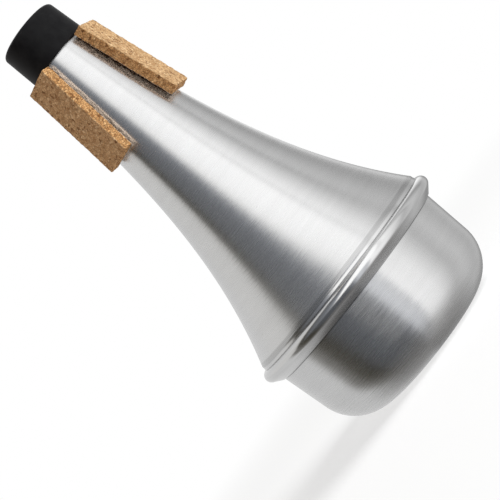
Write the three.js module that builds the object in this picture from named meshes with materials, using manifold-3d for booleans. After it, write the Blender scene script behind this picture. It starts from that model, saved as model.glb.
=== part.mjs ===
// Trumpet straight mute. A spun aluminium cone is closed by a drawn aluminium cup: the rim of the
// cone is rolled outwards and down over the cup's flange. A rubber sleeve covers the open neck, and
// three cork strips, each on its bed of glue, wedge the mute in the bell and leave air gaps.
// Millimetres, +Z up: the mute stands on the flat bottom of its cup, with its axis on Z, and the
// first cork strip faces +X.

import * as THREE from "three";
import { mergeVertices } from "three/addons/utils/BufferGeometryUtils.js";
import Module from "manifold-3d";

const wasm = await Module();
wasm.setup();

// Sizes of the whole mute
const overallLength = 165; // bottom of the cup to the free end of the sleeve
const sheet = 0.8; // thickness of the aluminium in the cone and the cup
const seamGap = 0.3; // between the cone's rolled rim and the cup inside it
const fitGap = 0.1; // between a piece and the one that it is pushed on or glued to
const turnSides = 60; // facets round a turned piece, a multiple of the number of strips

// Sizes of the cone
const mouthRadius = 38.85; // outside of the big end
const landHeight = 1.55; // straight band above the rolled rim
const neckRadius = 10; // outside of the small end
const steadyShare = 0.42; // share of the flare that is an even taper
const flareExponent = 3.5; // how late the rest of the flare comes
const flareSteps = 16;

// Sizes of the rolled rim that joins the cone to the cup
const seamHeight = 37.15; // bottom of the cup to the top of the rim
const rollRadius = 2.25; // outside radius of the roll
const rollShift = 0.35; // the centre of the roll lies outside the cone's big end by this
const flankAngle = THREE.MathUtils.degToRad(40); // slope of the rim's underside
const rollSteps = 8;
const creaseDepth = 0.4; // crease between the cone and its rim
const creaseDrop = 0.2; // bottom of the crease below the top of the rim
const lipHeight = 0.3; // edge over the crease, above the top of the rim
const lipSwell = 0.1; // the same edge stands out from the cone by this

// Sizes of the cup
const cupStep = 1.35; // the top of the wall lies inside the cone's big end by this
const cupDraft = THREE.MathUtils.degToRad(3); // how far the wall leans in towards the bottom
const cupCorner = 15.5; // outside radius between wall and bottom
const cornerSteps = 10;
const flangeBend = 0.6; // outside radius between wall and flange
const bendSteps = 3;

// Sizes of the rubber sleeve
const sleeveLength = 14.2;
const sleeveLip = 1.5; // rubber that covers the cut edge of the neck
const sleeveOverhang = 0.2; // the lip stands inside the metal of the neck by this
const sleeveMouthWall = 0.85;
const sleeveEndWall = 1.65;
const sleeveRound = 1.3; // rounding of the free end
const roundSteps = 4;
const liningSteps = 3;

// Sizes of the cork strips and their glue
const corkCount = 3;
const corkLength = 36.4;
const corkWidth = 13.8;
const corkThickness = 3.2; // along the middle of the strip
const corkHollow = 0.3; // the underside lies this much further out along its middle
const hollowSteps = 6;
const corkToSleeve = 0.3;
const glueFilm = 0.2; // thickness of the glue where the strip comes nearest to the cone
const glueWidth = 8;
const glueInset = 1; // the glue stops short of the strip's ends by this

// Heights and radii that follow from the sizes above
const rollCentreRadius = mouthRadius + rollShift;
const rollCentreHeight = seamHeight - rollRadius;
const landTop = seamHeight + landHeight;
const neckTop = overallLength - sleeveLip - fitGap;
const flangeTop = seamHeight - sheet - seamGap;
const flangeBottom = flangeTop - sheet;
const cupRadius = mouthRadius - cupStep;
const wallTop = flangeBottom - flangeBend * (1 - Math.sin(cupDraft));
const sleeveMouth = overallLength - sleeveLength;
const corkTop = sleeveMouth - corkToSleeve;
const corkLift = fitGap + glueFilm + fitGap;

const aluminium = new THREE.MeshStandardMaterial({
  color: 0xc9cacc,
  roughness: 0.3,
  metalness: 1,
});
const rubber = new THREE.MeshStandardMaterial({ color: 0x1c1b1d, roughness: 0.7 });
const cork = new THREE.MeshStandardMaterial({ color: 0xbb8c5c, roughness: 0.95 });
const glue = new THREE.MeshStandardMaterial({ color: 0x5a3a22, roughness: 0.5 });

// Outside radius of the cone at a height: an even taper at the neck, flaring ever faster below.
function coneRadius(height) {
  const down = (neckTop - height) / (neckTop - landTop);
  const share = steadyShare * down + (1 - steadyShare) * down ** flareExponent;
  return neckRadius + (mouthRadius - neckRadius) * share;
}

// Outside radius of the cup's wall at a height.
function wallRadius(height) {
  return cupRadius - (wallTop - height) * Math.tan(cupDraft);
}

// Points of an arc in a profile, from one angle to another; angle 0 points away from the axis.
function arc(radius, height, bend, from, to, steps) {
  return Array.from({ length: steps + 1 }, (_, i) => {
    const angle = from + ((to - from) * i) / steps;
    return [radius + bend * Math.cos(angle), height + bend * Math.sin(angle)];
  });
}

// The line beside a profile line, a distance to its left, with mitred corners.
function beside(line, distance) {
  const normals = line.slice(1).map(([r, z], i) => {
    const [dr, dz] = [r - line[i][0], z - line[i][1]];
    const length = Math.hypot(dr, dz);
    return [-dz / length, dr / length];
  });
  return line.map(([r, z], i) => {
    const before = normals[Math.max(i - 1, 0)];
    const after = normals[Math.min(i, normals.length - 1)];
    const [nr, nz] = [before[0] + after[0], before[1] + after[1]];
    const reach = (2 * distance) / (nr * nr + nz * nz);
    return [r + nr * reach, z + nz * reach];
  });
}

// A closed profile of [radius, height] points turned round the Z axis.
function turned(profile) {
  const [first, last] = [profile[0], profile[profile.length - 1]];
  const onAxis = first[0] === 0 && last[0] === 0;
  const points = (onAxis ? profile : [...profile, first]).map(([r, z]) => new THREE.Vector2(r, z));
  return new THREE.LatheGeometry(points, turnSides).rotateX(Math.PI / 2);
}

function toSolid(geometry) {
  const bare = geometry.clone();
  bare.deleteAttribute("normal");
  bare.deleteAttribute("uv");
  const merged = mergeVertices(bare);
  const mesh = new wasm.Mesh({
    numProp: 3,
    vertProperties: merged.attributes.position.array,
    triVerts: merged.index.array,
  });
  return new wasm.Manifold(mesh);
}

function toGeometry(solid) {
  const mesh = solid.getMesh();
  const geometry = new THREE.BufferGeometry();
  geometry.setAttribute("position", new THREE.BufferAttribute(mesh.vertProperties, 3));
  geometry.setIndex(new THREE.BufferAttribute(mesh.triVerts, 1));
  geometry.computeVertexNormals();
  return geometry;
}

function piece(name, geometry, material) {
  const mesh = new THREE.Mesh(geometry, material);
  mesh.name = name;
  return mesh;
}

// The cone's outer side from the land up to the neck, measured down from the neck.
function flareLine() {
  return Array.from({ length: flareSteps + 1 }, (_, i) => {
    const height = neckTop - ((neckTop - landTop) * (flareSteps - i)) / flareSteps;
    return [coneRadius(height), height];
  });
}

// The rolled rim's outer side, from its cut edge beside the cup's wall up to the top of the roll.
// The underside is as long as it takes for the edge to end one gap away from the wall.
function rimLine() {
  const [run, rise] = [Math.cos(flankAngle), Math.sin(flankAngle)];
  const tangent = flankAngle - Math.PI / 2;
  const roll = arc(rollCentreRadius, rollCentreHeight, rollRadius, tangent, Math.PI / 2, rollSteps);
  const [footRadius, footHeight] = roll[0];
  const room = footRadius - sheet * rise - seamGap - wallRadius(footHeight + sheet * run);
  const flank = room / (run - rise * Math.tan(cupDraft));
  return [[footRadius - flank * run, footHeight - flank * rise], ...roll];
}

function coneShell() {
  const rim = rimLine();
  const flare = flareLine();
  const crease = [
    [mouthRadius - creaseDepth, seamHeight - creaseDrop],
    [mouthRadius + lipSwell, seamHeight + lipHeight],
  ];
  const inside = beside([...rim, [mouthRadius, seamHeight], ...flare], sheet).reverse();
  return piece("cone_shell", turned([...rim, ...crease, ...flare, ...inside]), aluminium);
}

function baseCup() {
  const cornerTop = cupCorner * (1 - Math.sin(cupDraft));
  const bottomRadius = wallRadius(cornerTop) - cupCorner * Math.cos(cupDraft);
  const bendRadius = cupRadius + flangeBend * Math.cos(cupDraft);
  const bendHeight = flangeBottom - flangeBend;
  const line = [
    [0, 0],
    ...arc(bottomRadius, cupCorner, cupCorner, -Math.PI / 2, -cupDraft, cornerSteps),
    ...arc(bendRadius, bendHeight, flangeBend, Math.PI - cupDraft, Math.PI / 2, bendSteps),
    [rollCentreRadius, flangeBottom],
  ];
  return piece("base_cup", turned([...line, ...beside(line, sheet).reverse()]), aluminium);
}

function neckSleeve() {
  const endRadius = neckRadius + fitGap + sleeveEndWall - sleeveRound;
  const endHeight = overallLength - sleeveRound;
  const bore = neckRadius - sheet - sleeveOverhang;
  const lipBottom = neckTop + fitGap;
  const lining = Array.from({ length: liningSteps + 1 }, (_, i) => {
    const height = neckTop - ((neckTop - sleeveMouth) * i) / liningSteps;
    return [coneRadius(height) + fitGap, height];
  });
  const profile = [
    [coneRadius(sleeveMouth) + fitGap + sleeveMouthWall, sleeveMouth],
    ...arc(endRadius, endHeight, sleeveRound, 0, Math.PI / 2, roundSteps),
    [bore, overallLength],
    [bore, lipBottom],
    [neckRadius + fitGap, lipBottom],
    ...lining,
  ];
  return piece("neck_sleeve", turned(profile), rubber);
}

// Where the strips lie: along the chord of the cone between their two ends.
const corkRun = coneRadius(corkTop - corkLength) - coneRadius(corkTop);
const corkDrop = Math.sqrt(corkLength ** 2 - corkRun ** 2);
const corkFoot = corkTop - corkDrop;
const corkLean = Math.atan2(coneRadius(corkFoot) - coneRadius(corkTop), corkDrop);

// The hollow of the strips across a width: [distance out from the chord, place across].
function hollowLine(width, lift) {
  return Array.from({ length: hollowSteps + 1 }, (_, i) => {
    const across = width / 2 - (width * i) / hollowSteps;
    return [lift - corkHollow * ((2 * across) / corkWidth) ** 2, across];
  });
}

// A section of [distance out, place across], extruded along the chord on the +X side.
function alongStrip(section, inset) {
  const shape = new THREE.Shape(section.map(([out, across]) => new THREE.Vector2(out, across)));
  return new THREE.ExtrudeGeometry(shape, { depth: corkLength - 2 * inset, bevelEnabled: false })
    .translate(0, 0, inset)
    .rotateY(-corkLean)
    .translate(coneRadius(corkFoot), 0, corkFoot);
}

function corkStrip(number) {
  const face = corkLift + corkThickness;
  const section = [
    [face, -corkWidth / 2],
    [face, corkWidth / 2],
    ...hollowLine(corkWidth, corkLift),
  ];
  return piece(`cork_strip_${number}`, alongStrip(section, 0), cork);
}

// The glue fills the middle of the space between the strip and the round of the cone.
function glueBed(number) {
  const section = [
    ...hollowLine(glueWidth, fitGap + glueFilm),
    [-glueWidth / 2, -glueWidth / 2],
    [-glueWidth / 2, glueWidth / 2],
  ];
  const cone = flareLine().map(([r, z]) => [r + fitGap, z]);
  const core = turned([[0, landTop], ...cone, [0, neckTop]]);
  const bed = toSolid(alongStrip(section, glueInset)).subtract(toSolid(core));
  return piece(`cork_glue_${number}`, toGeometry(bed), glue);
}

const mute = new THREE.Group();
mute.add(coneShell(), baseCup(), neckSleeve());
for (let i = 0; i < corkCount; i++) {
  const strip = new THREE.Group();
  strip.rotation.z = (2 * Math.PI * i) / corkCount;
  strip.add(corkStrip(i + 1), glueBed(i + 1));
  mute.add(strip);
}

export default mute;
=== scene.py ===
# %% [markdown]
# # A trumpet straight mute
#
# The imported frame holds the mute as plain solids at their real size: a spun aluminium cone, a drawn
# cup, a rubber sleeve, and three cork strips on their beds of glue. This script makes the surfaces
# that show, each one where its solid is, and lights them as a small product in a studio.

# %% Load the frame
import math

import bmesh
import bpy
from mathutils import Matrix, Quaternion, Vector


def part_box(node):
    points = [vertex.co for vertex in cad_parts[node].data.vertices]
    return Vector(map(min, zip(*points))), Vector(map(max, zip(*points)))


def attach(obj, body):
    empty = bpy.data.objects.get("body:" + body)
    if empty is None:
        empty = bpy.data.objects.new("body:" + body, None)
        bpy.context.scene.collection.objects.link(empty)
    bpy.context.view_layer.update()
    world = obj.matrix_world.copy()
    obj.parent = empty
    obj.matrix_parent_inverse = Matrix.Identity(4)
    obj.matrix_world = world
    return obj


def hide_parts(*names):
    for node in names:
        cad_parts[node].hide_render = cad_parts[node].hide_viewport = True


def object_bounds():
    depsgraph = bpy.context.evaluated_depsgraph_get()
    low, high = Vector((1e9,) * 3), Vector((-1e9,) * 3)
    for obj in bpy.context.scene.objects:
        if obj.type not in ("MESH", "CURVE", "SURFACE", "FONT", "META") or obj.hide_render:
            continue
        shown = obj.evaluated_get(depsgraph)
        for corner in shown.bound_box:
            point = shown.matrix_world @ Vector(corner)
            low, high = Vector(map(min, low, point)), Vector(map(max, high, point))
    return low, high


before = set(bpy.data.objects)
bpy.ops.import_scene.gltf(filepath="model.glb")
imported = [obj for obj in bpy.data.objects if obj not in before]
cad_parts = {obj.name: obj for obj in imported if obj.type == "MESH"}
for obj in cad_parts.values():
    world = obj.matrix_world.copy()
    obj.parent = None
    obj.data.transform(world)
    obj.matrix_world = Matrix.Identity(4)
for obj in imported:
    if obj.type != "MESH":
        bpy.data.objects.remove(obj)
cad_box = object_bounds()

mm = 0.001
bpy.ops.object.select_all(action="DESELECT")
print("loaded", sorted(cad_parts))

# %% [markdown]
# ## The camera
#
# The mute is seen level with its lower third and almost straight from the side. The camera is rolled
# over, so that the mute lies across the picture with its neck at the upper left. The mute itself
# stands upright on its cup. It could be laid down instead, but turning the camera keeps the floor
# under it and leaves the frame alone.

# %% Place the camera
camera_place = Vector((169.44, -465.52, 61.71)) * mm
camera_target = Vector((-10.84, -3.95, 64.94)) * mm
camera_roll = math.radians(-52.22)
picture_width_px = 500
focal_length_px = 1536.4

bpy.ops.object.camera_add(location=camera_place)
camera = bpy.context.object
level_view = (camera_target - camera_place).to_track_quat("-Z", "Y")
camera.rotation_euler = (level_view @ Quaternion((0, 0, 1), camera_roll)).to_euler()
camera.data.lens = camera.data.sensor_width * focal_length_px / picture_width_px
bpy.context.scene.camera = camera
print("camera lens", round(camera.data.lens, 1), "mm")

# %% [markdown]
# ## Node trees in plain words
#
# Every finish below is a small tree of shader nodes. Such trees can be joined up by hand in the shader
# editor. Written down, each node is one call that fills its sockets and joins it to what feeds it, so
# that a tree reads from top to bottom like a recipe.

# %% Add a node
def add(tree, kind, sockets=None, **settings):
    """Adds a node. A socket's value is a number, a colour, or another node's output."""
    node = tree.nodes.new("ShaderNode" + kind)
    for name, value in settings.items():
        setattr(node, name, value)
    for name, value in (sockets or {}).items():
        if isinstance(value, bpy.types.NodeSocket):
            tree.links.new(value, node.inputs[name])
        else:
            node.inputs[name].default_value = value
    return node


def new_material(name):
    """An empty material, its tree and its output node."""
    material = bpy.data.materials.new(name)
    material.use_nodes = True
    tree = material.node_tree
    tree.nodes.clear()
    return material, tree, add(tree, "OutputMaterial")


# %% Places, sums and ranges
def object_place(tree):
    """Where a point is on its piece, in metres."""
    return add(tree, "TexCoord").outputs["Object"]


def split(tree, vector):
    """The parts of a vector, by the names X, Y and Z."""
    return add(tree, "SeparateXYZ", {0: vector}).outputs


def maths(tree, operation, *values):
    """The result of one sum of numbers."""
    return add(tree, "Math", dict(enumerate(values)), operation=operation).outputs[0]


def vectors(tree, operation, *values):
    """The result of one sum of vectors, which is a number for a length or a dot product."""
    node = add(tree, "VectorMath", dict(enumerate(values)), operation=operation)
    return node.outputs["Value" if operation in ("LENGTH", "DOT_PRODUCT") else "Vector"]


def remap(tree, value, source, target=(0.0, 1.0), smooth=False):
    """Turns one range of values into another, and stays at its ends beyond them."""
    sockets = dict(enumerate((value, *source, *target)))
    bend = "SMOOTHSTEP" if smooth else "LINEAR"
    return add(tree, "MapRange", sockets, interpolation_type=bend).outputs[0]


# %% [markdown]
# ## The studio
#
# Bare metal shows little but its surroundings, so the studio decides how the mute looks. A picture of a
# real studio could be wrapped round the scene, but bands that are drawn from numbers can be set one by
# one. A light tent round the mute carries two rows of upright bands, bright panels and dark boards, over
# a grey ground. It is seen in reflections alone. Lamps light what is matt, the cork and the rubber. The
# floor and the room are white to the eye, and the floor keeps the mute's shadow.

# %% What is seen directly
plain_white = (1, 1, 1, 1)


def seen_directly(tree):
    """1 where the camera looks, straight or through a reflection, and 0 for light on its way."""
    path = add(tree, "LightPath").outputs
    mirrored = maths(tree, "MAXIMUM", path["Is Glossy Ray"], path["Is Transmission Ray"])
    return maths(tree, "MAXIMUM", path["Is Camera Ray"], mirrored)


# %% The room
room_brightness = 0.36


def white_room():
    """A world that looks white and lights the mute gently."""
    world = bpy.data.worlds.new("white_room")
    world.use_nodes = True
    tree = world.node_tree
    tree.nodes.clear()
    light = add(tree, "Background", {"Color": plain_white, "Strength": room_brightness})
    white = add(tree, "Background", {"Color": plain_white, "Strength": 1.0})
    both = add(tree, "MixShader", {0: seen_directly(tree), 1: light.outputs[0], 2: white.outputs[0]})
    add(tree, "OutputWorld", {"Surface": both.outputs[0]})
    return world


bpy.context.scene.world = white_room()
bpy.context.scene.view_settings.view_transform = "Standard"
print("room", room_brightness)

# %% The floor
floor_size = 6.0
floor_grey = (0.86, 0.86, 0.86, 1)
floor_own_white = 0.62
shadow_reach = 0.16, 0.42


def pale_floor():
    """Matt white paper that keeps the shadow near the mute and is plain white further away."""
    material, tree, output = new_material("pale_floor")
    paper = add(tree, "BsdfDiffuse", {"Color": floor_grey})
    white = add(tree, "Emission", {"Color": plain_white, "Strength": 1.0})
    away = vectors(tree, "LENGTH", object_place(tree))
    fade = remap(tree, away, shadow_reach, (floor_own_white, 1.0), smooth=True)
    share = maths(tree, "MULTIPLY", seen_directly(tree), fade)
    both = add(tree, "MixShader", {0: share, 1: paper.outputs[0], 2: white.outputs[0]})
    tree.links.new(both.outputs[0], output.inputs["Surface"])
    return material


bpy.ops.mesh.primitive_plane_add(size=floor_size)
floor = bpy.context.object
floor.name = "floor"
floor.data.materials.append(pale_floor())
floor.visible_glossy = False
print("floor", floor_size, "m across")

# %% The bands of the light tent
# Each band is a bearing in degrees, counted towards the right from behind the camera, a brightness
# and how blue it is. The cone looks up into the high bands, and the cup down into the low ones.
high_bands = [
    (-180, 0.72, 0.0),
    (-150, 0.77, 0.0),
    (-120, 0.83, -0.1),
    (-92, 0.82, -0.1),
    (-83, 0.68, -0.2),
    (-76, 0.075, -1.0),
    (-69, 0.085, -0.6),
    (-62, 0.16, 0.4),
    (-46, 0.22, 0.5),
    (-34, 0.29, 0.6),
    (-27, 0.55, 0.3),
    (-20, 1.64, -0.1),
    (-12, 1.52, 0.0),
    (27, 1.50, 0.0),
    (34, 1.10, 0.0),
    (41, 1.36, 0.0),
    (52, 1.22, 0.0),
    (68, 1.00, 0.0),
    (80, 0.76, 0.0),
    (88, 0.52, 0.0),
    (95, 0.82, 0.0),
    (112, 0.72, 0.0),
    (138, 0.44, 0.0),
    (150, 0.55, 0.0),
    (160, 0.84, 0.0),
    (170, 1.15, 0.0),
    (180, 1.25, 0.0),
]
low_bands = [
    (-180, 0.72, 0.0),
    (-130, 0.74, 0.0),
    (-96, 0.77, 0.0),
    (-90, 0.56, -0.1),
    (-85, 0.22, -0.4),
    (-77, 0.19, -0.4),
    (-70, 0.09, -1.0),
    (-58, 0.065, -1.0),
    (-48, 0.105, 0.3),
    (-34, 0.120, 0.6),
    (-18, 0.115, 0.6),
    (-8, 0.130, 0.6),
    (0, 0.235, 0.5),
    (6, 0.66, 0.3),
    (10, 0.84, 0.3),
    (22, 0.74, 0.2),
    (27, 1.34, 0.0),
    (50, 1.24, 0.0),
    (64, 0.98, 0.0),
    (80, 0.66, 0.0),
    (100, 0.80, 0.0),
    (130, 0.60, 0.0),
    (150, 0.64, 0.0),
    (162, 0.30, 0.0),
    (180, 0.40, 0.0),
]
print("bands", len(high_bands), "high and", len(low_bands), "low")

# %% Mixtures and ramps
def mixed(tree, share, first, second, data_type="RGBA", blend_type="MIX"):
    """What is all of the first where the share is 0, and all of the second where it is 1."""
    sockets = {"Factor": share, "A": first, "B": second}
    return add(tree, "Mix", sockets, data_type=data_type, blend_type=blend_type).outputs["Result"]


def coloured(tree, value, stops):
    """The colour of a value on a ramp of (value, colour) stops."""
    ramp = add(tree, "ValToRGB", {"Fac": value})
    elements = ramp.color_ramp.elements
    for _ in range(len(stops) - len(elements)):
        elements.new(0.5)
    for element, (place, colour) in zip(elements, stops):
        element.position = place
        element.color = (*colour, 1)
    return ramp.outputs["Color"]


# %% Bearings and colours of the bands
blueness = (0.0, 0.08, 0.25)
to_camera = math.atan2(camera_place.y, camera_place.x)


def turn_share(degrees):
    """A bearing as a share of the whole turn, with what faces the camera at 0.5."""
    return degrees / 360 + 0.5


def bearing_of(tree, place, lean):
    """The bearing of each point from the mute, as a share of the whole turn."""
    turned = add(tree, "Mapping", {"Vector": place, "Rotation": (0, 0, -to_camera)}).outputs[0]
    leant = add(tree, "Mapping", {"Vector": turned, "Rotation": (lean, 0, 0)}).outputs[0]
    return add(tree, "TexGradient", {"Vector": leant}, gradient_type="RADIAL").outputs["Fac"]


def band_colours(tree, bearing, bands):
    """The colours of a row of bands."""
    stops = [(turn_share(degrees), [brightness * (1 + blue * tint) for tint in blueness])
             for degrees, brightness, blue in bands]
    return coloured(tree, bearing, stops)


# %% The cloth of the light tent
# A rise is a height over the mute's foot, as a share of the tent's radius. The high bands lean outwards
# on both sides of the dark one, so that they cross the flare aslant.
tent_radius = 1.2
left_lean, right_lean = math.radians(-10), math.radians(19)
lean_change = turn_share(-74), turn_share(-44)
low_rise = 0.20, 0.08
ground_rise = -0.62, -0.90
ground_grey = (0.22, 0.215, 0.21, 1)
ground_share = 0.8
later_strength = 2.2


def tent_strength(tree):
    """1 for what the metal shows to the camera, and more for light that it throws on matt faces."""
    depth = add(tree, "LightPath").outputs["Diffuse Depth"]
    return remap(tree, depth, (0.0, 1.0), (1.0, later_strength))


def tent_cloth():
    """The tent's two rows of bands, and the grey ground below them."""
    material, tree, output = new_material("tent_cloth")
    place = object_place(tree)
    rise = maths(tree, "DIVIDE", split(tree, place)["Z"], tent_radius)
    upright = bearing_of(tree, place, 0)
    left, right = bearing_of(tree, place, left_lean), bearing_of(tree, place, right_lean)
    leaning = mixed(tree, remap(tree, upright, lean_change), left, right, data_type="FLOAT")
    high = band_colours(tree, leaning, high_bands)
    low = band_colours(tree, upright, low_bands)
    bands = mixed(tree, remap(tree, rise, low_rise), high, low)
    ground = remap(tree, rise, ground_rise, (0.0, ground_share))
    colour = mixed(tree, ground, bands, ground_grey)
    glow = add(tree, "Emission", {"Color": colour, "Strength": tent_strength(tree)})
    tree.links.new(glow.outputs[0], output.inputs["Surface"])
    material.cycles.emission_sampling = "NONE"
    return material


# %% The light tent
bpy.ops.mesh.primitive_uv_sphere_add(segments=64, ring_count=32, radius=tent_radius)
tent = bpy.context.object
tent.name = "light_tent"
tent.data.materials.append(tent_cloth())
tent.visible_camera = False
tent.visible_diffuse = False
tent.visible_transmission = False
tent.visible_shadow = False
print("tent", tent_radius, "m in radius")

# %% The lamps
middle_of_mute = Vector((0, 0, (cad_box[0][2] + cad_box[1][2]) / 2))


def area_lamp(name, bearing, rise, distance, size, power, colour):
    """A square softbox that looks at the middle of the mute, hidden from the metal."""
    turn, up = to_camera + math.radians(bearing), math.radians(rise)
    way = Vector((math.cos(turn) * math.cos(up), math.sin(turn) * math.cos(up), math.sin(up)))
    bpy.ops.object.light_add(type="AREA", location=middle_of_mute + distance * way)
    lamp = bpy.context.object
    lamp.name = name
    lamp.data.size = size
    lamp.data.energy = power
    lamp.data.color = colour
    lamp.rotation_euler = (-way).to_track_quat("-Z", "Y").to_euler()
    lamp.visible_glossy = False


area_lamp("key_softbox", bearing=72, rise=38, distance=1.0, size=0.7, power=13.2, colour=(0.985, 1.0, 1.0))
area_lamp("warm_card", bearing=-75, rise=5, distance=0.8, size=0.5, power=1.2, colour=(1.0, 0.55, 0.25))

# %% [markdown]
# ## Sizes that the metal shares
#
# The cone and the cup are turned on a lathe from one outline each, so their sizes are radii and
# heights. What the frame can tell is read from it. The others are the sizes that its outlines follow.

# %% Sizes of the metal
sheet = 0.8 * mm
seam_gap = 0.3 * mm
fit_gap = 0.1 * mm
roll_radius = 2.25 * mm
roll_shift = 0.35 * mm
land_height = 1.55 * mm
cup_inset = 1.35 * mm
cup_draft = math.radians(3)
flange_bend = 0.6 * mm

neck_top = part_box("cone_shell")[1].z
neck_radius = 10 * mm
mouth_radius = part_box("cone_shell")[1].x - roll_shift - roll_radius
seam_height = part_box("base_cup")[1].z + sheet + seam_gap
land_top = seam_height + land_height
cup_radius = mouth_radius - cup_inset
flange_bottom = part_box("base_cup")[1].z - sheet
wall_top = flange_bottom - flange_bend * (1 - math.sin(cup_draft))
print("neck", round(neck_top / mm, 2), "mouth", round(mouth_radius / mm, 2))

# %% Radii of the cup and the cone
steady_share = 0.42
flare_exponent = 3.5


def wall_radius(height):
    """Outside radius of the cup's wall, which leans in towards the bottom."""
    return cup_radius - (wall_top - height) * math.tan(cup_draft)


def cone_radius(height):
    """Outside radius of the cone: an even taper at the neck, flaring ever faster below."""
    down = (neck_top - height) / (neck_top - land_top)
    share = steady_share * down + (1 - steady_share) * down**flare_exponent
    return neck_radius + (mouth_radius - neck_radius) * share


print("cone", round(cone_radius(neck_top / 2) / mm, 2), "mm in radius at half its height")

# %% Lines of an outline
def evenly(start, end, steps):
    """Values from start to end with even steps between them."""
    return [start * (1 - i / steps) + end * (i / steps) for i in range(steps + 1)]


def arc(radius, height, bend, start, end, steps):
    """Points of an arc in an outline; angle 0 points away from the axis."""
    return [(radius + bend * math.cos(angle), height + bend * math.sin(angle))
            for angle in evenly(start, end, steps)]


def beside(line, distance):
    """The line beside an outline, a distance to its left, with mitred corners."""
    sides = []
    for (r1, z1), (r2, z2) in zip(line, line[1:]):
        length = math.hypot(r2 - r1, z2 - z1)
        sides.append(((z1 - z2) / length, (r2 - r1) / length))
    result = []
    for i, (r, z) in enumerate(line):
        before, after = sides[max(i - 1, 0)], sides[min(i, len(sides) - 1)]
        nr, nz = before[0] + after[0], before[1] + after[1]
        reach = 2 * distance / (nr * nr + nz * nz)
        result.append((r + nr * reach, z + nz * reach))
    return result


# %% [markdown]
# ## Turning an outline
#
# A turned piece could be made from stacked cones, or by shrinking a cylinder ring by ring. Here it is
# made as on the lathe: the outline is drawn point by point with extrude, and spun round the axis. Sharp
# corners are then picked out by their place and bevelled, because real sheet has no knife edges.

# %% Take a piece in hand
def take(piece):
    """Selects one piece alone, for the operator that comes next."""
    bpy.ops.object.select_all(action="DESELECT")
    piece.select_set(True)
    bpy.context.view_layer.objects.active = piece


def edit(piece):
    """Starts edit mode on one piece, with nothing of it selected."""
    take(piece)
    bpy.ops.object.mode_set(mode="EDIT")
    bpy.ops.mesh.select_mode(type="VERT")
    bpy.ops.mesh.select_all(action="DESELECT")


# %% Spin an outline
turn_steps = 192
weld = 0.002 * mm


def spin_outline(name, outline):
    """A closed outline of (radius, height) points, spun into a closed piece."""
    start = Vector((outline[0][0], 0, outline[0][1]))
    bpy.ops.mesh.primitive_plane_add(size=sheet, location=start)
    piece = bpy.context.object
    piece.name = name
    bpy.ops.object.transform_apply(location=True)
    bpy.ops.object.mode_set(mode="EDIT")
    bpy.ops.mesh.select_mode(type="VERT")
    bpy.ops.mesh.merge(type="CENTER")
    for here, there in zip(outline, outline[1:] + outline[:1]):
        step = (there[0] - here[0], 0, there[1] - here[1])
        bpy.ops.mesh.extrude_region_move(TRANSFORM_OT_translate={"value": step})
    bpy.ops.mesh.select_all(action="SELECT")
    bpy.ops.mesh.remove_doubles(threshold=weld)
    bpy.ops.mesh.spin(steps=turn_steps, angle=2 * math.pi, center=(0, 0, 0), axis=(0, 0, 1))
    bpy.ops.mesh.select_all(action="SELECT")
    bpy.ops.mesh.remove_doubles(threshold=weld)
    bpy.ops.mesh.normals_make_consistent(inside=False)
    bpy.ops.object.mode_set(mode="OBJECT")
    return piece


# %% Round the sharp rings
def bevel_rings(piece, corners, width, segments=3):
    """Rounds the sharp rings of a turned piece, each given by its radius and height."""
    edit(piece)
    bpy.ops.mesh.select_mode(type="EDGE")
    mesh = bmesh.from_edit_mesh(piece.data)
    for edge in mesh.edges:
        ends = [(math.hypot(v.co.x, v.co.y), v.co.z) for v in edge.verts]
        edge.select = any(all(math.dist(end, corner) < weld for end in ends) for corner in corners)
    bmesh.update_edit_mesh(piece.data)
    bpy.ops.mesh.bevel(offset=width, segments=segments, affect="EDGES")
    bpy.ops.object.mode_set(mode="OBJECT")


# %% Finish a piece
def finish_piece(piece, material, slot, *nodes, smooth=40):
    """Smooth shading below an angle, the finish, and the piece's place in the frame."""
    take(piece)
    bpy.ops.object.shade_smooth_by_angle(angle=math.radians(smooth))
    piece.data.materials.clear()
    piece.data.materials.append(material)
    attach(piece, "root")
    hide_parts(*nodes)
    size = [round(side / mm, 1) for side in piece.dimensions]
    print(piece.name, len(piece.data.polygons), "faces", size, "mm")


# %% [markdown]
# ## Places on a turned piece
#
# The lathe marks on spun metal run round the axis, so the finishes need each point's radius, its
# direction from the axis and its height rather than its X and Y. Each finish could work these out for
# itself, but a small group does it once for all, and the groups after it draw with them.

# %% New groups
def new_group(name, inputs, outputs):
    """An empty shader group: its tree, its first node's outputs and its last node.

    An input's value is a number, or three numbers for a vector.
    """
    tree = bpy.data.node_groups.new(name, "ShaderNodeTree")
    for label, value in inputs.items():
        kind = "NodeSocketVector" if isinstance(value, tuple) else "NodeSocketFloat"
        socket = tree.interface.new_socket(label, in_out="INPUT", socket_type=kind)
        socket.default_value = value
    for label, kind in outputs.items():
        tree.interface.new_socket(label, in_out="OUTPUT", socket_type="NodeSocket" + kind)
    given = tree.nodes.new("NodeGroupInput").outputs
    result = tree.nodes.new("NodeGroupOutput")
    return tree, given, result


def use_group(tree, group, **values):
    """Places a group in a tree with its own values, and gives its outputs."""
    return add(tree, "Group", values, node_tree=group).outputs


# %% The group of turned places
def joined(tree, x, y, z=0.0):
    """A vector from its three parts."""
    return add(tree, "CombineXYZ", {"X": x, "Y": y, "Z": z}).outputs[0]


def turned_place_group():
    """Radius, the direction from the axis, and height of each point of a piece."""
    outputs = {"Radius": "Float", "Around": "Vector", "Height": "Float"}
    tree, _, result = new_group("turned_place", {}, outputs)
    parts = split(tree, object_place(tree))
    flat = joined(tree, parts["X"], parts["Y"])
    tree.links.new(vectors(tree, "LENGTH", flat), result.inputs["Radius"])
    tree.links.new(vectors(tree, "NORMALIZE", flat), result.inputs["Around"])
    tree.links.new(parts["Z"], result.inputs["Height"])
    return tree


turned_place = turned_place_group()
print("group", turned_place.name)

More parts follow.
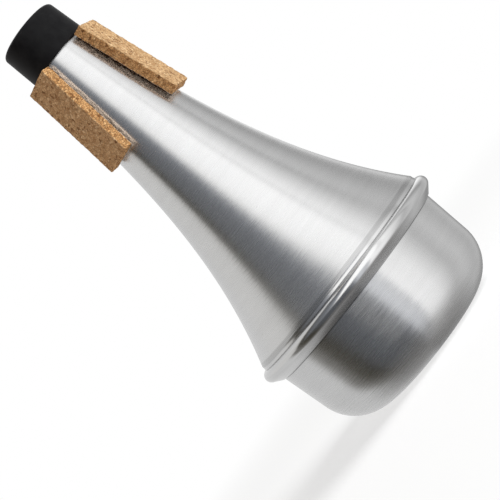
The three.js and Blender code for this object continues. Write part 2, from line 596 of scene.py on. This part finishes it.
# %% [markdown]
# ## Marks on spun metal
#
# Five groups draw the marks. Lathe lines are rings that fade in and out round the turn. Streaks are
# what a polishing cloth leaves along the piece. Pits are the few specks where the sheet was scarred.
# The painted-shade ring darkens a ring of metal as painted shade, where it lies in shade beside a
# crease or under a rim. The ring twist turns the shine of each ring a little to one side, which gives
# the edges of the reflections on the real metal their combed look. A picture wrapped round the metal
# could hold all of them, but it would blur when seen closely.

# %% Lathe lines
def scaled(tree, vector, scale):
    """A vector or a colour times a number."""
    return add(tree, "VectorMath", {0: vector, "Scale": scale}, operation="SCALE").outputs["Vector"]


def lathe_lines_group():
    """Lines is how many to a metre, Arc how often they change round the turn."""
    inputs = {"Lines": 3000.0, "Arc": 3.0, "Detail": 3.0}
    tree, given, result = new_group("lathe_lines", inputs, {"Mask": "Float"})
    place = use_group(tree, turned_place)
    out = maths(tree, "MULTIPLY", place["Radius"], given["Lines"])
    up = maths(tree, "MULTIPLY", place["Height"], given["Lines"])
    turn = split(tree, scaled(tree, place["Around"], given["Arc"]))
    spot = joined(tree, out, turn["X"], turn["Y"])
    rings = add(tree, "TexNoise", {"Vector": spot, "W": up, "Scale": 1.0, "Detail": given["Detail"]},
                noise_dimensions="4D")
    tree.links.new(rings.outputs["Fac"], result.inputs["Mask"])
    return tree


lathe_lines = lathe_lines_group()
print("group", lathe_lines.name)

# %% Streaks
def noise(tree, place, scale, detail, output="Fac"):
    """A cloudy pattern; its scale is in clouds to a metre."""
    return add(tree, "TexNoise", {"Vector": place, "Scale": scale, "Detail": detail}).outputs[output]


def streaks_group():
    """Streaks is how fine they are round the piece, Run how often they change along it."""
    tree, given, result = new_group("streaks", {"Streaks": 30.0, "Run": 20.0}, {"Mask": "Float"})
    place = use_group(tree, turned_place)
    turn = split(tree, scaled(tree, place["Around"], given["Streaks"]))
    along = maths(tree, "MULTIPLY", place["Height"], given["Run"])
    spot = joined(tree, turn["X"], turn["Y"], along)
    tree.links.new(noise(tree, spot, scale=1.0, detail=2.0), result.inputs["Mask"])
    return tree


streaks = streaks_group()
print("group", streaks.name)

# %% Pits
def pits_group():
    """Small round specks: Spread is how many places to a metre, Share how many of them are pitted."""
    inputs = {"Spread": 300.0, "Share": 0.05, "Size": 0.06}
    tree, given, result = new_group("pits", inputs, {"Mask": "Float"})
    cells = add(tree, "TexVoronoi", {"Vector": object_place(tree), "Scale": given["Spread"]}).outputs
    pick = add(tree, "SeparateColor", {"Color": cells["Color"]}).outputs["Red"]
    pitted = maths(tree, "LESS_THAN", pick, given["Share"])
    speck = remap(tree, cells["Distance"], (0.0, given["Size"]), (1.0, 0.0), smooth=True)
    tree.links.new(maths(tree, "MULTIPLY", pitted, speck), result.inputs["Mask"])
    return tree


pits = pits_group()
print("group", pits.name)

# %% Grime
def painted_shade_ring_group():
    """A ring of painted shade: Height is its middle, Half its half width and Fade how softly it ends."""
    inputs = {"Height": 10 * mm, "Half": 0.5 * mm, "Fade": 0.2 * mm}
    tree, given, result = new_group("painted_shade_ring", inputs, {"Mask": "Float"})
    up = use_group(tree, turned_place)["Height"]
    away = maths(tree, "ABSOLUTE", maths(tree, "SUBTRACT", up, given["Height"]))
    end = maths(tree, "ADD", given["Half"], given["Fade"])
    ring = remap(tree, away, (given["Half"], end), (1.0, 0.0), smooth=True)
    tree.links.new(ring, result.inputs["Mask"])
    return tree


painted_shade_ring = painted_shade_ring_group()
print("group", painted_shade_ring.name)

# %% The ring twist
def ring_twist_group():
    """Turns a normal about the axis, ring by ring, by up to half of Twist radians either way."""
    inputs = {"Normal": (0.0, 0.0, 1.0), "Mask": 0.5, "Twist": 0.03}
    tree, given, result = new_group("ring_twist", inputs, {"Normal": "Vector"})
    around = use_group(tree, turned_place)["Around"]
    side = vectors(tree, "CROSS_PRODUCT", (0, 0, 1), around)
    swing = maths(tree, "MULTIPLY", maths(tree, "SUBTRACT", given["Mask"], 0.5), given["Twist"])
    tipped = vectors(tree, "ADD", given["Normal"], scaled(tree, side, swing))
    tree.links.new(vectors(tree, "NORMALIZE", tipped), result.inputs["Normal"])
    return tree


ring_twist = ring_twist_group()
print("group", ring_twist.name)

# %% [markdown]
# ## Spun aluminium
#
# The metal is bright but not polished. Its grooves run round the axis and spread each reflection along
# the piece. An even gloss would be simpler, but it spreads them to all sides alike. An anisotropic gloss
# with a tangent round Z does what the grooves do. The rolled rim was pressed hard by a roller and is
# smoother than the rest, so its reflections are crisper.

# %% Colour of the aluminium
# Most of a noise lies in its middle, so that is the range to spread over a finish.
noise_middle = 0.3, 0.7
aluminium_colour = (0.64, 0.64, 0.64)
fine_shades = 0.965, 1.03
broad_shades = 0.975, 1.025
pit_darkness = 0.45


def metal_colour(tree, fine, painted_shade_rings):
    """The metal under its lines, its pits and its rings of painted shade."""
    broad = use_group(tree, lathe_lines, Lines=420.0, Arc=1.2, Detail=2.0)["Mask"]
    pit = use_group(tree, pits, Spread=330.0, Share=0.05, Size=0.09)["Mask"]
    lined = remap(tree, fine, noise_middle, fine_shades)
    banded = remap(tree, broad, noise_middle, broad_shades)
    pitted = maths(tree, "MULTIPLY_ADD", pit, -pit_darkness, 1.0)
    shade = maths(tree, "MULTIPLY", maths(tree, "MULTIPLY", lined, banded), pitted)
    for middle, half, fade, darkness in painted_shade_rings:
        ring = use_group(tree, painted_shade_ring, Height=middle, Half=half, Fade=fade)["Mask"]
        shade = maths(tree, "MULTIPLY", shade, maths(tree, "MULTIPLY_ADD", ring, -darkness, 1.0))
    return scaled(tree, aluminium_colour, shade)


# %% The aluminium
brushed_roughness = 0.24, 0.30
rim_shine = 0.62
line_depth = 0.003 * mm
brushed_twist = 0.05
groove_spread = 0.85
quarter_turn = 0.25
below_all = -2 * mm, -1 * mm


def bumped(tree, height, depth, **normal):
    """The normal over a height that goes from 0 to 1, where 1 stands a depth in metres high."""
    sockets = {"Height": height, "Strength": 1.0, "Distance": depth, **normal}
    return add(tree, "Bump", sockets).outputs["Normal"]


def spun_aluminium(name, streak_depth, painted_shade_rings, rim_heights=below_all):
    """Metal that is brushed above the two heights of a rim, and smooth below them.

    The rings of painted shade are listed as middle, half width, fade, and how much of the light they take.
    """
    material, tree, output = new_material(name)
    height = use_group(tree, turned_place)["Height"]
    fine = use_group(tree, lathe_lines, Lines=2600.0, Arc=5.0, Detail=4.0)["Mask"]
    streak = use_group(tree, streaks, Streaks=26.0, Run=14.0)["Mask"]
    rough = remap(tree, fine, noise_middle, brushed_roughness)
    shine = remap(tree, height, rim_heights, (rim_shine, 1.0))
    twist = remap(tree, height, rim_heights, (0.0, brushed_twist))
    waves = bumped(tree, streak, streak_depth, Normal=bumped(tree, fine, line_depth))
    normal = use_group(tree, ring_twist, Normal=waves, Mask=fine, Twist=twist)["Normal"]
    metal = add(tree, "BsdfPrincipled", {
        "Base Color": metal_colour(tree, fine, painted_shade_rings), "Metallic": 1.0,
        "Roughness": maths(tree, "MULTIPLY", rough, shine), "Normal": normal,
        "Anisotropic": groove_spread, "Anisotropic Rotation": quarter_turn,
        "Tangent": add(tree, "Tangent", direction_type="RADIAL", axis="Z").outputs[0]})
    tree.links.new(metal.outputs[0], output.inputs["Surface"])
    return material


# %% [markdown]
# ## The cone
#
# The cone is one sheet, spun over a former. Its rim is rolled outwards and down round the cup's flange,
# which leaves a crease between the cone and the rim, and a raised lip over the crease. The rim could be
# a ring of its own, but one outline keeps the sheet whole, as it is. It goes up the outside, from the
# cut edge beside the cup to the neck, and back down the inside.

# %% The rolled rim
roll_centre_radius = mouth_radius + roll_shift
roll_centre_height = seam_height - roll_radius
flank_angle = math.radians(40)
rim_gap = 0.05 * mm
roll_steps = 24


def rim_line():
    """The rolled rim from its cut edge, just clear of the cup's wall, to the top of the roll."""
    tangent = flank_angle - math.pi / 2
    roll = arc(roll_centre_radius, roll_centre_height, roll_radius, tangent, math.pi / 2, roll_steps)
    foot_radius, foot_height = roll[0]
    run, rise = math.cos(flank_angle), math.sin(flank_angle)
    wall = wall_radius(foot_height + sheet * run)
    flank = (foot_radius - sheet * rise - rim_gap - wall) / (run - rise * math.tan(cup_draft))
    return [(foot_radius - flank * run, foot_height - flank * rise), *roll]


rim = rim_line()
rim_foot = rim[0][1]
print("cut edge of the rim at", round(rim_foot / mm, 2), "mm")

# %% Outline of the cone
lip_height = 0.22 * mm
lip_swell = 0.2 * mm
lip_top = 1.0 * mm
flare_steps = 64

crease = (mouth_radius, seam_height)
lip = (mouth_radius + lip_swell, seam_height + lip_height)
above_lip = (mouth_radius, seam_height + lip_top)
flare = [(cone_radius(height), height) for height in evenly(land_top, neck_top, flare_steps)]
cone_inside = beside([*rim, crease, *flare], sheet)[::-1]
cone_outline = [*rim, crease, lip, above_lip, *flare, *cone_inside]
print("outline of the cone", len(cone_outline), "points")

# %% The cone
lip_round = 0.12 * mm
sheet_round = 0.15 * mm
cut_edge_round = 0.4 * mm
inner_round = 0.06 * mm
cone_streaks = 0.004 * mm
rim_heights = seam_height + 0.3 * mm, land_top
# A ring of painted shade darkens the land and the foot of the flare just above the crease.
cone_painted_shade_rings = [(seam_height + 1.95 * mm, 0.55 * mm, 0.5 * mm, 0.24)]

cone = spin_outline("spun_cone", cone_outline)
bevel_rings(cone, [lip], lip_round, segments=5)
bevel_rings(cone, [above_lip, flare[0]], sheet_round)
bevel_rings(cone, [flare[-1], cone_inside[0]], sheet_round)
bevel_rings(cone, [rim[0]], cut_edge_round, segments=6)
bevel_rings(cone, [cone_inside[-1]], inner_round)
cone_aluminium = spun_aluminium("cone_aluminium", cone_streaks, cone_painted_shade_rings, rim_heights)
finish_piece(cone, cone_aluminium, "spun_aluminium", "cone_shell")

# %% [markdown]
# ## The cup
#
# The cup closes the cone. It is drawn from a round sheet: a flat bottom, a large soft corner, a wall
# that leans in a little, and a flange that turns out into the rolled rim. A cylinder with a wide bevel
# comes close, but a spun outline gives the lean and the flange as well. The shading of a small bend
# spreads into the faces beside it, so the wall has one more ring close under the flange.

# %% Outline of the cup
cup_corner = 15.5 * mm
corner_steps = 28
wall_steps = 8
last_ring_share = 0.2
bend_steps = 6


def between(start, end, shares):
    """The points at some shares of the straight way between two points."""
    return [(start[0] + (end[0] - start[0]) * share, start[1] + (end[1] - start[1]) * share)
            for share in shares]


def cup_outline():
    """The outside of the cup from the axis to the end of its flange, and back along the inside."""
    corner_height = cup_corner * (1 - math.sin(cup_draft))
    middle = wall_radius(corner_height) - cup_corner * math.cos(cup_draft)
    corner = arc(middle, cup_corner, cup_corner, -math.pi / 2, -cup_draft, corner_steps)
    bend = arc(cup_radius + flange_bend * math.cos(cup_draft), flange_bottom - flange_bend,
               flange_bend, math.pi - cup_draft, math.pi / 2, bend_steps)
    shares = [*evenly(0, 1, wall_steps)[1:-1], 1 - last_ring_share / wall_steps]
    wall = between(corner[-1], bend[0], shares)
    line = [(0, 0), *corner, *wall, *bend, (roll_centre_radius, flange_bottom)]
    return line + beside(line, sheet)[::-1]


# %% The cup
cup_streaks = 0.008 * mm
# A thin ring of painted shade darkens the wall just under the rim's cut edge.
cup_painted_shade_rings = [(rim_foot, 0.12 * mm, 0.1 * mm, 0.6)]

cup = spin_outline("drawn_cup", cup_outline())
cup_aluminium = spun_aluminium("cup_aluminium", cup_streaks, cup_painted_shade_rings)
finish_piece(cup, cup_aluminium, "spun_aluminium", "base_cup")

# %% [markdown]
# ## The rubber sleeve
#
# A short moulded sleeve covers the open end of the neck, so that it doesn't scratch the bell. Its free
# end is rounded, and its lip turns in over the metal's cut edge. A cylinder could be hollowed for it,
# but the lip makes an outline easier. Its finish is a satin black with a little dust and a very fine
# grain, which is a bump, because faces as small as its grains would be too many.

# %% The rubber
rubber_colour = (0.0052, 0.0050, 0.0056, 1)
dusty_colour = (0.0105, 0.0105, 0.0110, 1)
dusty_range = 0.35, 0.75
satin_roughness = 0.44, 0.56
satin_gloss = 0.1
grain_depth = 0.01 * mm


def black_rubber():
    """Satin black rubber with thin clouds of dust."""
    material, tree, output = new_material("black_rubber")
    place = object_place(tree)
    clouds = noise(tree, place, scale=380.0, detail=4.0)
    grain = noise(tree, place, scale=5200.0, detail=3.0)
    skin = add(tree, "BsdfPrincipled", {
        "Base Color": mixed(tree, remap(tree, clouds, dusty_range), rubber_colour, dusty_colour),
        "Roughness": remap(tree, clouds, noise_middle, satin_roughness),
        "Specular IOR Level": satin_gloss, "Normal": bumped(tree, grain, grain_depth)})
    tree.links.new(skin.outputs[0], output.inputs["Surface"])
    return material


rubber = black_rubber()
print("finish", rubber.name)

# %% Outline of the sleeve
overall_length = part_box("neck_sleeve")[1].z
sleeve_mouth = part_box("neck_sleeve")[0].z
sleeve_end_wall = 1.65 * mm
sleeve_mouth_wall = 0.85 * mm
sleeve_round = 1.3 * mm
sleeve_lip = 0.2 * mm
sleeve_bore = neck_radius - sheet - sleeve_lip
sleeve_steps = 12
round_steps = 10


def sleeve_outline():
    """The outside of the sleeve up to its rounded end, down the bore, and along the neck."""
    end_radius = neck_radius + fit_gap + sleeve_end_wall - sleeve_round
    mouth = (cone_radius(sleeve_mouth) + fit_gap + sleeve_mouth_wall, sleeve_mouth)
    end = arc(end_radius, overall_length - sleeve_round, sleeve_round, 0, math.pi / 2, round_steps)
    side = between(mouth, end[0], evenly(0, 1, sleeve_steps)[:-1])
    lip_bottom = neck_top + fit_gap
    lining = [(cone_radius(height) + fit_gap, height)
              for height in evenly(neck_top, sleeve_mouth, sleeve_steps)]
    return [*side, *end, (sleeve_bore, overall_length), (sleeve_bore, lip_bottom),
            (neck_radius + fit_gap, lip_bottom), *lining]


# %% The sleeve
sleeve_edge_round = 0.2 * mm

outline = sleeve_outline()
sleeve = spin_outline("rubber_sleeve", outline)
bevel_rings(sleeve, [outline[0], outline[-1], (sleeve_bore, overall_length)], sleeve_edge_round)
finish_piece(sleeve, rubber, "sleeve_rubber", "neck_sleeve")

# %% [markdown]
# ## Granulated cork
#
# The strips are cut from a board of pressed cork granules. A picture of cork could be laid on each
# face, but the cells of a solid pattern run round every edge, as granules do. They are about a
# millimetre across, each with its own tan, with dark bark specks and fine dark seams between them. The
# cut sides are coarser than the outer face, and their redder tint and deeper contrast are partly painted
# shade. The underside is painted pale, as painted light from the bright metal below it, and dark in its
# middle, as painted shade deep in the gap. Which face is which shows in how far it looks away from the
# axis.

# %% The granules
granules_to_metre = 1250.0
granule_bend = 0.7 * mm
tans = [
    (0.0, (0.19, 0.095, 0.042)),
    (0.06, (0.32, 0.175, 0.080)),
    (0.16, (0.43, 0.255, 0.122)),
    (0.55, (0.50, 0.310, 0.158)),
    (0.85, (0.56, 0.362, 0.190)),
    (1.0, (0.66, 0.46, 0.265)),
]


def granules_of_cork(tree, place):
    """The tan of each granule, how far it stands up, and how far its edge is."""
    clouds = noise(tree, place, scale=900.0, detail=2.0, output="Color")
    bend = scaled(tree, vectors(tree, "SUBTRACT", clouds, (0.5, 0.5, 0.5)), granule_bend)
    sockets = {"Vector": vectors(tree, "ADD", place, bend), "Scale": granules_to_metre}
    cells = add(tree, "TexVoronoi", sockets).outputs["Color"]
    edge = add(tree, "TexVoronoi", sockets, feature="DISTANCE_TO_EDGE").outputs["Distance"]
    pick = add(tree, "SeparateColor", {"Color": cells}).outputs
    return coloured(tree, pick["Red"], tans), pick["Green"], edge


# %% The faces of a strip
# Facing is 1 where a face looks straight out from the axis, and -1 where it looks at the axis.
cut_facing = 0.85, 0.55
under_facing = 0.0, -0.4
shaded_middle_facing = -0.87, -0.97


def faces_of_strip(tree):
    """Masks of the cut sides, the underside and its middle, where shade is painted."""
    normal = add(tree, "NewGeometry").outputs["Normal"]
    facing = vectors(tree, "DOT_PRODUCT", normal, use_group(tree, turned_place)["Around"])
    return [remap(tree, facing, bounds) for bounds in (cut_facing, under_facing, shaded_middle_facing)]


# %% The cork
# The cut sides' redder tint and deeper contrast are partly their coarser grain and partly painted shade.
cut_tint_and_painted_shade = (1.10, 0.95, 0.78, 1)
cut_contrast_and_painted_shade = 1.7
# The pale underside is painted light, standing in for the light that the bright metal throws on it.
underside_painted_light = (0.80, 0.65, 0.53, 1)
# The dark middle of the underside is painted shade deep in the gap.
underside_painted_shade = (0.20, 0.15, 0.11, 1)
seam_width, seam_shade = 0.11, 0.55
crumb_tones = 0.74, 1.16
crumb_lift, granule_lift = 0.7, 0.5
cork_depth = 0.14 * mm
dry_roughness, dry_gloss = 0.9, 0.2


def granulated_cork():
    """Tan granules with dark seams; coarser cut sides partly in painted shade; painted light and shade
    below.
    """
    material, tree, output = new_material("granulated_cork")
    place = object_place(tree)
    tan, lift, edge = granules_of_cork(tree, place)
    cut, under, shaded_middle = faces_of_strip(tree)
    tone = remap(tree, noise(tree, place, scale=3800.0, detail=3.0), noise_middle, crumb_tones)
    seam = remap(tree, edge, (0.0, seam_width), (seam_shade, 1.0))
    contrast = remap(tree, cut, (0.0, 1.0), (1.0, cut_contrast_and_painted_shade))
    shade = maths(tree, "POWER", maths(tree, "MULTIPLY", tone, seam), contrast)
    bare = scaled(tree, mixed(tree, cut, tan, cut_tint_and_painted_shade, blend_type="MULTIPLY"), shade)
    underside = mixed(tree, shaded_middle, underside_painted_light, underside_painted_shade)
    lifted = maths(tree, "MULTIPLY", lift, granule_lift)
    rough = maths(tree, "MULTIPLY_ADD", shade, crumb_lift, lifted)
    height = maths(tree, "MULTIPLY", rough, maths(tree, "SUBTRACT", 1.0, under))
    matt = add(tree, "BsdfPrincipled", {
        "Base Color": mixed(tree, under, bare, underside), "Roughness": dry_roughness,
        "Specular IOR Level": dry_gloss, "Normal": bumped(tree, height, cork_depth)})
    tree.links.new(matt.outputs[0], output.inputs["Surface"])
    return material


cork = granulated_cork()
print("finish", cork.name)

# %% [markdown]
# ## The cork strips
#
# Each strip is a bar with a slightly hollowed underside, leaning with the cone. A cube is cut
# lengthwise and its underside pushed out in the middle. A voxel remesh then gives it an even skin of
# small faces, which two displacements crumble into granules, so that even its outline is cork.

# %% Sizes of the strips
cork_count = 3
cork_length = 36.4 * mm
cork_width = 13.8 * mm
cork_thickness = 3.2 * mm
cork_hollow = 0.3 * mm
glue_film = 0.2 * mm
cork_lift = fit_gap + glue_film + fit_gap
sleeve_clearance = 0.3 * mm
cork_top = sleeve_mouth - sleeve_clearance
cork_run = cone_radius(cork_top - cork_length) - cone_radius(cork_top)
cork_drop = math.sqrt(cork_length**2 - cork_run**2)
cork_foot = cork_top - cork_drop
cork_lean = math.atan2(cone_radius(cork_foot) - cone_radius(cork_top), cork_drop)
print("cork lean", round(math.degrees(cork_lean), 2), "degrees")

# %% Change a piece for good
def modify(piece, kind, **settings):
    """Adds a modifier and applies it."""
    take(piece)
    modifier = piece.modifiers.new(kind.lower(), kind)
    for name, value in settings.items():
        setattr(modifier, name, value)
    bpy.ops.object.modifier_apply(modifier=modifier.name)


def apply_place(piece):
    """Moves the piece's turn, size and place into its mesh."""
    take(piece)
    bpy.ops.object.transform_apply(location=True, rotation=True, scale=True)


# %% A blank strip
hollow_shares = -0.75, -0.5, -0.25, 0, 0.25, 0.5, 0.75
cork_round = 0.25 * mm
cork_voxel = 0.2 * mm


def cork_blank():
    """A strip that lies on the cone towards X, with its underside towards the axis."""
    low, high = cork_lift - cork_hollow, cork_lift + cork_thickness
    bpy.ops.mesh.primitive_cube_add(size=1, location=((low + high) / 2, 0, cork_length / 2),
                                    scale=(high - low, cork_width, cork_length))
    blank = bpy.context.object
    apply_place(blank)
    edit(blank)
    for share in hollow_shares:
        across = share * cork_width / 2
        bpy.ops.mesh.select_all(action="SELECT")
        bpy.ops.mesh.bisect(plane_co=(0, across, 0), plane_no=(0, 1, 0))
        mesh = bmesh.from_edit_mesh(blank.data)
        for vertex in mesh.verts:
            vertex.select = abs(vertex.co.y - across) < weld and vertex.co.x < low + weld
        mesh.select_flush_mode()
        bmesh.update_edit_mesh(blank.data)
        bpy.ops.transform.translate(value=(cork_hollow * (1 - share**2), 0, 0))
    bpy.ops.object.mode_set(mode="OBJECT")
    modify(blank, "BEVEL", width=cork_round, segments=2, limit_method="ANGLE")
    modify(blank, "REMESH", mode="VOXEL", voxel_size=cork_voxel)
    blank.rotation_euler = (0, -cork_lean, 0)
    blank.location = (cone_radius(cork_foot), 0, cork_foot)
    apply_place(blank)
    return blank


blank = cork_blank()
print("blank strip", len(blank.data.polygons), "faces")

# %% Crumble and place the strips
crumble_depth = 0.18 * mm
granule_depth = 0.22 * mm


def relief(name, kind, size):
    """A texture for a displacement, with lumps of a size in metres."""
    texture = bpy.data.textures.new(name, kind)
    texture.noise_scale = size
    return texture


crumble = relief("crumble", "CLOUDS", 2.4 * mm)
granules = relief("granules", "VORONOI", 1.0 * mm)
for number in range(1, cork_count + 1):
    strip = blank.copy()
    strip.data = blank.data.copy()
    strip.name = f"cork_block_{number}"
    bpy.context.collection.objects.link(strip)
    strip.rotation_euler.z = 2 * math.pi * (number - 1) / cork_count
    apply_place(strip)
    modify(strip, "DISPLACE", texture=crumble, strength=crumble_depth, mid_level=0.5)
    modify(strip, "DISPLACE", texture=granules, strength=granule_depth, mid_level=0.5)
    finish_piece(strip, cork, "granulated_cork", f"cork_strip_{number}", smooth=60)
bpy.data.objects.remove(blank)

# %% [markdown]
# ## The glue
#
# A bed of dried contact glue holds each strip and shows as a dark line in the gap at its edges. The
# beds could be modelled anew, but their solids already have the right shape, so they stay and only get
# their finish, a dark amber with lumps.

# %% The glue's finish
ambers = [(0.3, (0.035, 0.015, 0.007)), (0.7, (0.11, 0.05, 0.02))]
dried_roughness = 0.45
lump_depth = 0.3 * mm


def contact_glue():
    """Dried glue that is paler on its lumps."""
    material, tree, output = new_material("contact_glue")
    lumps = noise(tree, object_place(tree), scale=700.0, detail=3.0)
    dried = add(tree, "BsdfPrincipled", {
        "Base Color": coloured(tree, lumps, ambers), "Roughness": dried_roughness,
        "Normal": bumped(tree, lumps, lump_depth)})
    tree.links.new(dried.outputs[0], output.inputs["Surface"])
    return material


glue = contact_glue()
for number in range(1, cork_count + 1):
    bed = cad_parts[f"cork_glue_{number}"]
    bed.data.materials.clear()
    bed.data.materials.append(glue)
print("glue on", cork_count, "beds")
